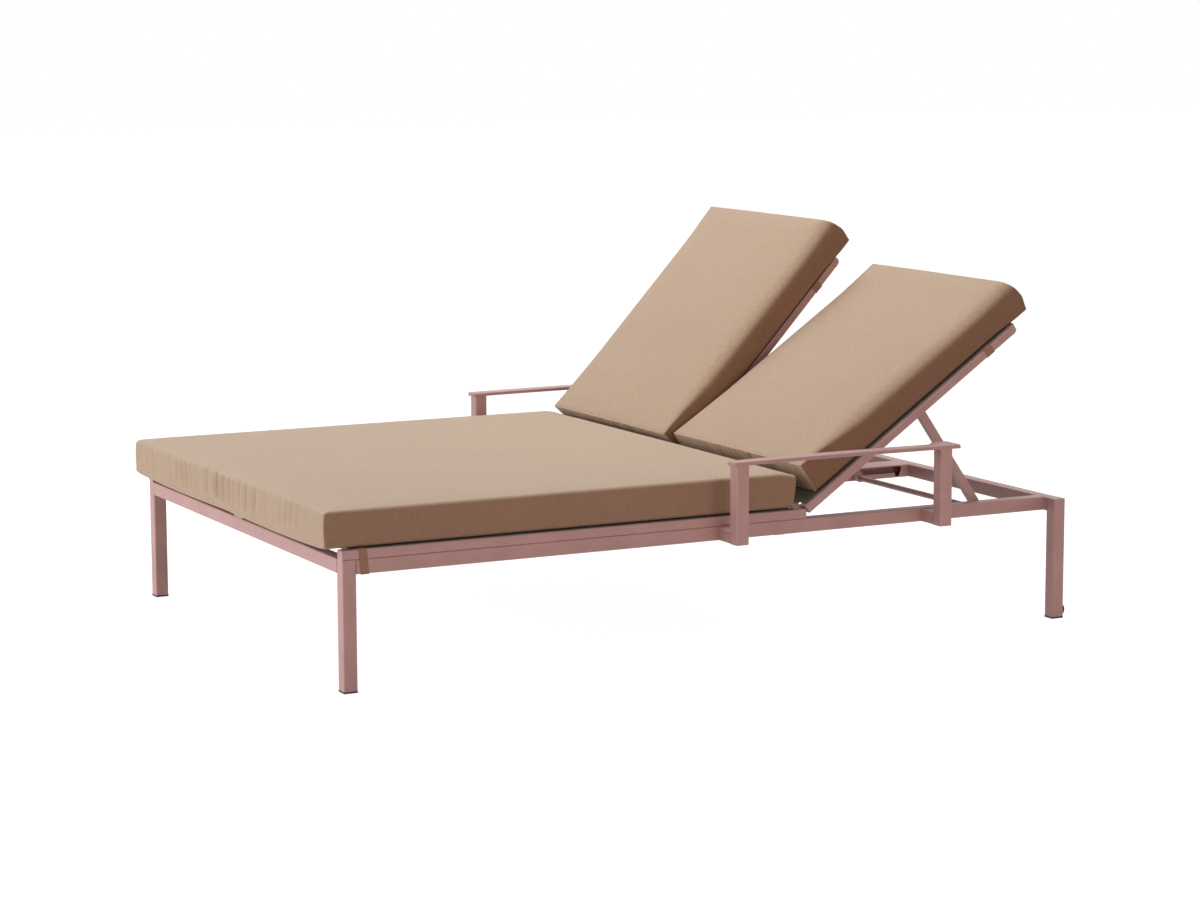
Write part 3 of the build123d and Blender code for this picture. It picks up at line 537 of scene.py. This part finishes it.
def make_seat_cushion():
    lengths = (2 * seat_half, seat_rear - seat_front, seat_top - seat_low)
    cell, rise_cell = 0.015, 0.008
    side_round, foot_round, rear_round, low_round, top_round = 0.012, 0.018, 0.012, 0.008, 0.014
    shares, faces = box_grid(
        steps_along(lengths[0], side_round, side_round, cell),
        steps_along(lengths[1], foot_round, rear_round, cell),
        steps_along(lengths[2], low_round, top_round, rise_cell),
    )
    # the long sides' radius grows behind the foot end, and the top's is larger than theirs
    tight_radius, added_radius, added_over = 0.006, 0.004, 0.08
    foot_radius, rear_radius, low_radius, top_added = 0.016, 0.009, 0.007, 0.003
    side = tight_radius + added_radius * smooth_step(shares[:, 1], 0.0, added_over)
    points = curled(
        shares, lengths, (side, foot_radius, low_radius), (side, rear_radius, side + top_added)
    )
    x = points[:, 0] - seat_half
    y = points[:, 1] + seat_front
    rise = points[:, 2] / lengths[2]
    # the top is crowned; it rises just behind the foot end and is drawn down at the rear
    crown_height, end_share, middle_share, foot_rise, foot_over = 0.0045, 0.25, 3.0, 0.0015, 0.06
    edge_drop, rear_drop, rear_reach = 0.0015, 0.0085, 0.050
    run = np.clip((y - seat_front) / lengths[1], 0, 1)
    lengthwise = end_share + middle_share * run * (1 - run)
    crown = crown_height * (1 - (x / seat_half) ** 2) * lengthwise
    crown += foot_rise * smooth_step(run, 0.0, foot_over)
    crown -= rear_drop * smooth_step(y, seat_rear - rear_reach, seat_rear)
    low = seat_underside(x)
    z = low + (seat_top - edge_drop + crown - low) * rise
    # the foot end swells between its seams, and the rear end draws in underneath
    seam_draw, under_draw, end_reach = 0.0035, 0.0100, 0.03
    belly = 4 * rise * (1 - rise)
    y += seam_draw * (1 - belly) * (1 - smooth_step(y, seat_front, seat_front + end_reach))
    y -= under_draw * (1 - rise) ** 2 * smooth_step(y, seat_rear - end_reach, seat_rear)
    cap, held_share, gather_reach, columns = 0.0030, 0.06, 0.030, 4
    piece = filled_cover(
        "seat_cushion_cover", np.stack([x, y, z], 1), faces, materials["cushion_fabric"], cap,
        rise < held_share, seat_front + gather_reach, columns,
    )
    # gathers on the foot end: strongest near its middle, none at its corners or its upper and lower
    # edges, fanned out a little towards the bottom
    full_reach, middle_x, middle_spread = 0.006, -0.02, 0.25
    bottom_fade, top_fade, corner_fade = (-0.02, 0.45), (0.78, 1.04), (0.52, 0.66)
    fold_pitch, fold_seed, fold_depth = 0.050, 7, 0.0130
    fine_pitch, fine_seed, fine_share, fine_sharp = 0.031, 8, 0.30, 0.3
    fan_share, top_lean = 0.04, 0.006
    p = points_of(piece)
    height = (p[:, 2] - seat_low) / (seat_top - seat_low)
    face = 1 - smooth_step(p[:, 1], seat_front + full_reach, seat_front + gather_reach)
    between = smooth_step(height, *bottom_fade) * (1 - smooth_step(height, *top_fade))
    middle = np.exp(-((p[:, 0] - middle_x) / middle_spread) ** 2)
    strong = (0.30 + 0.70 * middle) * (1 - smooth_step(np.abs(p[:, 0]), *corner_fade))
    lean = p[:, 0] * (1 + fan_share * (1 - height)) + top_lean * height ** 2
    pucker = gathers(lean, (fold_pitch,), fold_seed)
    pucker += fine_share * gathers(lean, (fine_pitch,), fine_seed, fine_sharp) * middle
    p[:, 1] -= fold_depth * pucker * face * between * strong
    set_points(piece, p)
    # painted light and shade: darker sides and painted shade in the gathers' creases
    mark_painted_light(piece, crease_depth(pucker, face * between * strong))
    flat_coordinates(piece)
    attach(piece, "frame")
    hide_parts("seat_cushion")


# Backrests in axes of their own: X across, Y up the back from its hinge, Z out of its face
back_angles = {"right": 34.5, "left": 47.2}
back_sides = {"right": 1, "left": -1}

# Back cushion in those axes: from the gap between the two to its outer side, from its lower end to its
# head, and its thickness over the bars
cushion_in, cushion_out = 0.0048, 0.6665
cushion_foot, cushion_head = 0.0630, 0.8210
cushion_low, cushion_top = 0.004, 0.0915


def back_axes(tag):
    tilt = radians(back_angles[tag])
    return np.array([[1, 0, 0], [0, cos(tilt), sin(tilt)], [0, -sin(tilt), cos(tilt)]])


def back_to_world(points, tag):
    return points @ back_axes(tag) + np.array([0, hinge_y, hinge_z])


# It sags with the sling between the bars and lies on the top bar; towards the head its edges lie on
# the bars, and further down they lift off them
def back_underside(x, up):
    inner, outer, outer_edge = 0.044, 0.650, 0.667
    on_bars, sag_depth, edge_lift, top_bar_lift = 0.0012, 0.0022, 0.0070, 0.0006
    sag_fades, top_bar, lift_fades, lift_ends = 0.685, 0.715, 0.700, 0.790
    middle, half = (inner + outer) / 2, (outer - inner) / 2
    share = np.clip((x - middle) / half, -1, 1)
    hung = -sag_depth * (1 - share ** 2) * (1 - smooth_step(up, sag_fades, top_bar))
    low = on_bars + np.where(up > top_bar, top_bar_lift, hung)
    lifted = edge_lift * (1 - smooth_step(up, lift_fades, lift_ends))
    low = np.where(x < inner, on_bars + lifted * (inner - x) / (inner - cushion_in), low)
    return np.where(x > outer, on_bars + lifted * (x - outer) / (outer_edge - outer), low)


def make_back_cushion(tag):
    side = back_sides[tag]
    lengths = (cushion_out - cushion_in, cushion_head - cushion_foot, cushion_top - cushion_low)
    cell, rise_cell = 0.014, 0.008
    side_round, foot_round, head_round, low_round, top_round = 0.026, 0.012, 0.040, 0.008, 0.028
    shares, faces = box_grid(
        steps_along(lengths[0], side_round, side_round, cell),
        steps_along(lengths[1], foot_round, head_round, cell),
        steps_along(lengths[2], low_round, top_round, rise_cell),
    )
    # the sewn lower end is crisp; the long edges grow soft up the back, most on each one's right side
    crisp_radius, right_added, left_added, added_over = 0.0035, 0.0340, 0.0150, 0.30
    under_radius, foot_radius, head_radius, low_radius = 0.005, 0.0025, 0.0008, 0.005
    run = shares[:, 1]
    on_right = (shares[:, 0] > 0.5) == (side > 0)
    added = np.where(on_right, right_added, left_added)
    soft = crisp_radius + added * smooth_step(run, 0.0, added_over)
    wide = np.where(shares[:, 2] > 0.5, soft, under_radius)
    points = curled(shares, lengths, (wide, foot_radius, low_radius), (wide, head_radius, soft))
    x = points[:, 0] + cushion_in
    up = points[:, 1] + cushion_foot
    rise = points[:, 2] / lengths[2]
    # the face is crowned and fuller at the head
    crown_height, end_share, middle_share = 0.0060, 0.15, 3.2
    head_height, head_from, edge_drop = 0.0055, 0.80, 0.0015
    low = back_underside(x, up)
    across_share = (x - (cushion_in + cushion_out) / 2) / (lengths[0] / 2)
    lengthwise = end_share + middle_share * run * (1 - run)
    crown = crown_height * (1 - across_share ** 2) * lengthwise
    crown += head_height * smooth_step(run, head_from, 1.0)
    lift = low + (cushion_top - edge_drop + crown - low) * rise
    # the head end bulges above its sharp lower corner and rolls over into the face
    bulge, bulge_to, head_reach = 0.0100, 0.95, 0.075
    roll_over, roll_from, roll_reach = 0.0030, 0.66, 0.34
    over = np.clip((rise - roll_from) / roll_reach, 0, 1)
    profile = bulge * np.sin(pi * np.clip(rise / bulge_to, 0, 1))
    profile -= roll_over * (1 - np.sqrt(1 - over ** 2))
    up += profile * smooth_step(up, cushion_head - head_reach, cushion_head)
    # the long sides swell between their seams
    side_swell, swell_from, swell_over = 0.0015, 0.90, 0.15
    swell = side_swell * 4 * rise * (1 - rise) * smooth_step(np.abs(across_share), swell_from, 1.0)
    x += swell * np.sign(across_share) * smooth_step(run, 0.0, swell_over)
    if side < 0:
        faces = [face[::-1] for face in faces]
    cap, held_share, held_run, gather_reach, columns = 0.0020, 0.06, 0.004, 0.010, 3
    piece = filled_cover(
        f"back_cushion_cover_{tag}", np.stack([x * side, up, lift], 1), faces, back_cloth, cap,
        (rise < held_share) | (run < held_run), cushion_foot + gather_reach, columns,
    )
    # gathers on the lower end, between its two welts: strongest round one place on each cushion
    full_reach, gather_depth, end_swell = 0.002, 0.0120, 0.0015
    bottom_fade, top_fade, pitches, spread = (0.04, 0.20), (0.95, 1.02), (0.016, 0.023), 0.16
    centre, seed = {"left": (0.26, 11), "right": (0.42, 12)}[tag]
    p = points_of(piece)
    height = p[:, 2] / cushion_top
    face = 1 - smooth_step(p[:, 1], cushion_foot + full_reach, cushion_foot + gather_reach)
    between = smooth_step(height, *bottom_fade) * (1 - smooth_step(height, *top_fade))
    strong = 0.35 + 0.65 * np.exp(-((np.abs(p[:, 0]) - centre) / spread) ** 2)
    pucker = gathers(np.abs(p[:, 0]), pitches, seed)
    p[:, 1] -= face * between * (gather_depth * pucker * strong + end_swell)
    set_points(piece, p)
    # painted light and shade: darker sides and painted shade in the gathers' creases
    mark_painted_light(piece, crease_depth(pucker, face * between * strong))
    flat_coordinates(piece)
    set_points(piece, back_to_world(points_of(piece), tag))
    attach(piece, f"back_{tag}")
    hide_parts(f"back_cushion_{tag}")
    make_welts(tag)


# A round tube swept along an open route, with capped ends
def tube(name, route, radius, material):
    sides = 8
    route = [Vector(p) for p in route]
    points = []
    for i, here in enumerate(route):
        along = (route[min(i + 1, len(route) - 1)] - route[max(i - 1, 0)]).normalized()
        one = (along.orthogonal() if i == 0 else one - along * one.dot(along)).normalized()
        two = along.cross(one)
        for s in range(sides):
            turn = 2 * pi * s / sides
            points.append(here + radius * (cos(turn) * one + sin(turn) * two))
    return mesh_object(name, points, swept_faces(len(route), sides), material)


# Faces between rings of equal size, in order, and one cap at each end
def swept_faces(rings, ring):
    faces = []
    for i in range(rings - 1):
        for s in range(ring):
            a, b, t = i * ring, (i + 1) * ring, (s + 1) % ring
            faces.append((a + s, a + t, b + t, b + s))
    faces.append(tuple(range(ring))[::-1])
    faces.append(tuple((rings - 1) * ring + s for s in range(ring)))
    return faces


# Welts along the sewn edges of a back cushion's lower end, bowed apart and a little wavy
def make_welts(tag):
    steps, radius, inset, proud = 90, 0.0019, 0.004, 0.0004
    upper_height, lower_height, bow_depth = cushion_top - 0.0035, 0.0075, 0.0016
    levels = (("upper", upper_height, 1.0), ("lower", lower_height, -0.6))
    for level, out, bow_share in levels:
        route = []
        for i in range(steps + 1):
            share = i / steps
            x = cushion_in + inset + (cushion_out - cushion_in - 2 * inset) * share
            bow = bow_depth * (1 - (2 * share - 1) ** 2)
            sway = 0.0004 * sin(37 * share) + 0.0003 * sin(83 * share + 1)
            route.append((x * back_sides[tag], cushion_foot + proud + sway, out + bow_share * bow))
        route = back_to_world(np.array(route), tag)
        piece = tube(f"back_welt_{level}_{tag}", route, radius, welt_cloth)
        flat_coordinates(piece)
        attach(piece, f"back_{tag}")


# Slings: thin panels stretched between two bars, whose outer edge lies on the outer bar. Beside the
# hinge ear that edge is cut away: outside notch_inner, and as far as notch_end from the hinge
notch_inner, notch_end, wrap_outer, sling_thickness = 0.6377, 0.0200, 0.6690, 0.0006
outer_columns = (
    0.6440, bar_inner - 0.0003, bar_inner + 0.0006, 0.6560, 0.6640, 0.6670, wrap_outer
)


# run_low and run_high are the sling's ends as distances from the hinge, negative towards the foot end
def make_sling(name, shape, inner, run_low, run_high, to_world, body, replaced, rests_on, axes):
    inner_count, ear_rows, far_rows, tiny = 26, 4, 40, 1e-6
    across = list(np.linspace(inner, notch_inner, inner_count)) + list(outer_columns)
    near_hinge, far, way = (run_low, run_high, 1) if run_low > 0 else (run_high, run_low, -1)
    notch_run = way * notch_end
    beside_ear = np.linspace(*sorted((near_hinge, notch_run)), ear_rows)
    runs = sorted(set(list(beside_ear) + list(np.linspace(notch_run, far, far_rows))))
    points = [to_world(x, run, shape(x)) for run in runs for x in across]
    columns = len(across)
    faces = []
    for i in range(len(runs) - 1):
        beside = abs(runs[i] + runs[i + 1]) / 2 < notch_end
        for j in range(columns - 1):
            cut_away = beside and across[j] > notch_inner - tiny
            if not cut_away:
                a = i * columns + j
                faces.append((a, a + 1, a + columns + 1, a + columns))
    used = sorted(set(corner for face in faces for corner in face))
    order = {old: new for new, old in enumerate(used)}
    points = [points[old] for old in used]
    faces = [tuple(order[corner] for corner in face) for face in faces]
    piece = mesh_object(name, points, faces, materials["sling_mesh"])
    if piece.data.polygons[0].normal.dot(Vector(axes[2])) < 0:
        piece.data.flip_normals()
    only(piece)
    thick = piece.modifiers.new("thick", "SOLIDIFY")
    thick.thickness = sling_thickness
    thick.offset = -1.0
    bpy.ops.object.modifier_apply(modifier=thick.name)
    flat_coordinates(piece, axes)
    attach(piece, body)
    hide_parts(replaced)
    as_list(rests_on)


# Height of a sling over the hinge line: the given level at its inner edge, a sag between the bars, and
# then the outer bar's top, whose rounded edge it follows down
def sling_shape(x, inner, level):
    on_bar, edge_fall, rounds_from, round_reach, sag = 0.0009, 0.0003, 0.6640, 0.0050, 0.0025
    if x > bar_inner:
        return on_bar - edge_fall * max(0.0, (x - rounds_from) / round_reach)
    share = 2 * (x - inner) / (bar_inner - inner) - 1
    rise = on_bar - level
    return level + rise * max(0.0, share) ** 6 - sag * (1 - share ** 2)


def make_slings():
    seat_inner, seat_level, seat_runs = 0.0283, -0.0022, (-1.2125, -0.0090)
    back_inner, back_level, back_runs = 0.0443, -0.0006, (0.0090, 0.7385)
    for tag, side in back_sides.items():
        def seat_place(x, run, lift, side=side):
            return (side * x, hinge_y + run, hinge_z + lift)

        make_sling(
            f"seat_sling_cloth_{tag}", lambda x: sling_shape(x, seat_inner, seat_level),
            seat_inner, *seat_runs, seat_place, "frame", f"seat_sling_{tag}",
            [f"seat_side_bar_{tag}", "seat_centre_bar"], world_axes,
        )

        def back_place(x, run, lift, side=side, tag=tag):
            return tuple(back_to_world(np.array([[side * x, run, lift]]), tag)[0])

        make_sling(
            f"back_sling_cloth_{tag}", lambda x: sling_shape(x, back_inner, back_level),
            back_inner, *back_runs, back_place, f"back_{tag}", f"back_sling_{tag}",
            [f"back_outer_bar_{tag}", f"back_inner_bar_{tag}"], back_axes(tag),
        )


# The path of webbing round a bar's section: straight runs with a quarter turn at each corner
def band_path(corners, radius):
    per_turn = 6
    route = [corners[0]]
    for before, here, after in zip(corners, corners[1:], corners[2:]):
        one = (Vector(before) - Vector(here)).normalized()
        two = (Vector(after) - Vector(here)).normalized()
        start, end = Vector(here) + one * radius, Vector(here) + two * radius
        centre = Vector(here) + (one + two) * radius
        first, last = start - centre, end - centre
        for i in range(per_turn + 1):
            turn = i / per_turn * pi / 2
            route.append(tuple(centre + first * cos(turn) + last * sin(turn)))
    route.append(corners[-1])
    return route


# Section of the webbing, as shares of its width and thickness: flat, with a raised rib at each edge
webbing_shares = (
    (-0.5, 0.15), (-0.47, 0.5), (-0.40, 0.62), (-0.33, 0.5), (0.33, 0.5), (0.40, 0.62), (0.47, 0.5),
    (0.5, 0.15), (0.5, -0.35), (0.47, -0.5), (-0.47, -0.5), (-0.5, -0.35),
)
webbing_thickness, webbing_turn, webbing_gap = 0.0012, 0.0035, 0.0008


# Webbing round the corners of a section; place(a, b, along) gives the world point of a place (a, b) on
# the section, and slant moves the webbing's far end sideways
def make_band(name, corners, width, place, slant=0.0):
    longest_step = 0.004
    route = band_path(corners, webbing_turn)
    dense = []
    for p, q in zip(route, route[1:]):
        steps = max(1, int((Vector(q) - Vector(p)).length / longest_step))
        dense += [tuple(Vector(p).lerp(Vector(q), i / steps)) for i in range(steps)]
    dense.append(route[-1])
    points, count = [], len(dense)
    for i, here in enumerate(dense):
        along = (Vector(dense[min(i + 1, count - 1)]) - Vector(dense[max(i - 1, 0)])).normalized()
        normal = Vector((along.y, -along.x))
        lean = slant * i / count
        for share, high in webbing_shares:
            at = Vector(here) + normal * high * webbing_thickness
            points.append(place(at.x, at.y, share * width + lean))
    faces = swept_faces(count, len(webbing_shares))
    piece = mesh_object(name, points, faces, materials["strap_fabric"])
    built = bmesh.new()
    built.from_mesh(piece.data)
    bmesh.ops.recalc_face_normals(built, faces=built.faces)
    built.to_mesh(piece.data)
    built.free()
    flat_coordinates(piece)
    return piece


# Foot-end straps go round the seat bar and the rail. Their places are X and height in the world
def make_foot_strap(tag, side):
    width, slant, behind_front = 0.021, 0.012, 0.0485
    outer_face, bar_top_face, rail_bottom = 0.680, 0.3383, 0.280
    out, top, low = outer_face + webbing_gap, bar_top_face + webbing_gap, rail_bottom - webbing_gap
    under_end, top_shorter = 0.6515, 0.012
    corners = [(under_end + top_shorter, top), (out, top), (out, low), (under_end, low)]

    def place(a, b, along):
        return (side * a, front + behind_front + along, b)

    piece = make_band(f"foot_strap_{tag}", corners, width, place, slant)
    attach(piece, "frame")
    return piece


# Back straps hold the cushion to each bar. Their places are across the back and out of its face
def make_back_strap(tag, side, bar_name, bar_x, inward):
    width, up_back = 0.026, 0.663
    bar_half, lap, bar_depth = 0.015, 0.009, 0.021
    edge = bar_x - inward * (bar_half + webbing_gap)
    end = bar_x + inward * lap
    top, low = webbing_gap, -bar_depth - webbing_gap
    corners = [(end, top), (edge, top), (edge, low), (end, low)]

    def place(a, b, along):
        return tuple(back_to_world(np.array([[side * a, up_back + along, b]]), tag)[0])

    piece = make_band(f"back_strap_{bar_name}_{tag}", corners, width, place)
    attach(piece, f"back_{tag}")
    return piece


def make_straps():
    for tag, side in back_sides.items():
        make_foot_strap(tag, side)
        outer = make_back_strap(tag, side, "outer", bar_x=0.665, inward=-1)
        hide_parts(f"back_straps_{tag}")
        make_back_strap(tag, side, "inner", bar_x=0.029, inward=1)
    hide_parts("foot_straps")


# One where the backdrop is seen straight on, in a reflection or through glass, and zero elsewhere
def backdrop_seen(graph):
    path = graph.add("ShaderNodeLightPath")
    seen = graph.math("MAXIMUM", path.outputs["Is Camera Ray"], path.outputs["Is Glossy Ray"])
    return graph.math("MAXIMUM", seen, path.outputs["Is Transmission Ray"])


# A pale floor, which is part emission where it is seen, so that it shows white and keeps a shadow
def make_floor():
    half, floor_colour, glow_share, glow = 30, (0.76, 0.71, 0.685), 0.60, 1.60
    material, graph = new_material("floor")
    pale = graph.add("ShaderNodeBsdfDiffuse", Color=(*floor_colour, 1))
    white = graph.add("ShaderNodeEmission", Color=(*plain_white, 1), Strength=glow)
    blend = graph.add("ShaderNodeMixShader")
    glowing = graph.math("MULTIPLY", backdrop_seen(graph), glow_share)
    for place, value in enumerate((glowing, pale.outputs[0], white.outputs[0])):
        graph.feed(blend, place, value)
    graph.add("ShaderNodeOutputMaterial", Surface=blend.outputs[0])
    corners = [(-half, -half, 0), (half, -half, 0), (half, half, 0), (-half, half, 0)]
    floor = mesh_object("floor", corners, [(0, 1, 2, 3)], material)


# A white surround where it is seen, and a weak warm fill on the object
def make_world():
    fill_colour, fill_strength = (1.0, 0.83, 0.77), 0.33
    world = bpy.data.worlds.new("studio")
    bpy.context.scene.world = world
    world.use_nodes = True
    graph = Graph(world.node_tree)
    fill = graph.add("ShaderNodeBackground", Color=(*fill_colour, 1), Strength=fill_strength)
    shown = graph.add("ShaderNodeBackground", Color=(*plain_white, 1), Strength=1.0)
    blend = graph.add("ShaderNodeMixShader")
    for place, value in enumerate((backdrop_seen(graph), fill.outputs[0], shown.outputs[0])):
        graph.feed(blend, place, value)
    graph.add("ShaderNodeOutputWorld", Surface=blend.outputs[0])


def area_light(name, place, aim, size, power, colour):
    data = bpy.data.lights.new(name, "AREA")
    data.shape = "SQUARE"
    data.size = size
    data.energy = power
    data.color = colour
    lamp = bpy.data.objects.new(name, data)
    bpy.context.collection.objects.link(lamp)
    lamp.location = place
    lamp.rotation_euler = (Vector(aim) - Vector(place)).to_track_quat("-Z", "Y").to_euler()


make_camera()
make_seat_cushion()
for tag in back_sides:
    make_back_cushion(tag)
make_slings()
make_straps()
make_floor()
make_world()
area_light(
    "overhead", place=(-0.8, 0.6, 4.2), aim=(0, 0, 0.4), size=3.2, power=118, colour=(1.0, 0.99, 0.975)
)
area_light(
    "foot_side", place=(-0.3, -5.2, 1.35), aim=(0, 0, 0.4), size=2.5, power=112,
    colour=(1.0, 0.985, 0.97),
)
area_light(
    "near_side", place=(5.5, 0.6, 0.85), aim=(0, 0, 0.25), size=1.6, power=27, colour=(1.0, 0.74, 0.64)
)

bpy.context.scene.view_settings.view_transform = "Standard"
